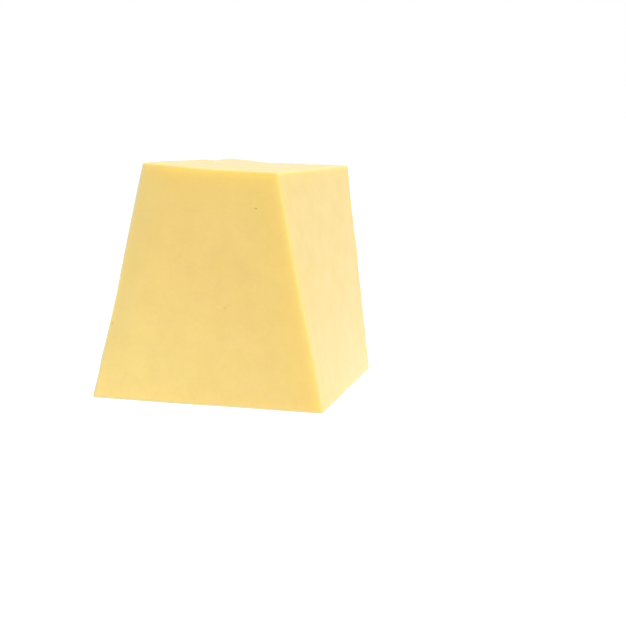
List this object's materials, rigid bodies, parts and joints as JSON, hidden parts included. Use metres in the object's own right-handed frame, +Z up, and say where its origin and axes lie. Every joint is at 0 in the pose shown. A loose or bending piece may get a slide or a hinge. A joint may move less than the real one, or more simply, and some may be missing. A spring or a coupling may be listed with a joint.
{
  "type": "cheddar block",
  "caption": "Tall block of pale yellow cheddar cut by hand, upright front and back, two sides leaning in to a smaller top.",
  "frame": {"origin": "middle of the foot's box, on the surface that the block stands on", "axes": "+Z up, the broad cut front face towards -Y, the twisted side towards +X"},
  "size_m": [0.106, 0.102, 0.1027],
  "materials": {
    "cheddar": "smooth knife-cut cheese, satin, slightly moist and translucent, pale warm yellow"
  },
  "bodies": {
    "root": {"cheddar_block": "cheddar"}
  },
  "joints": []
}
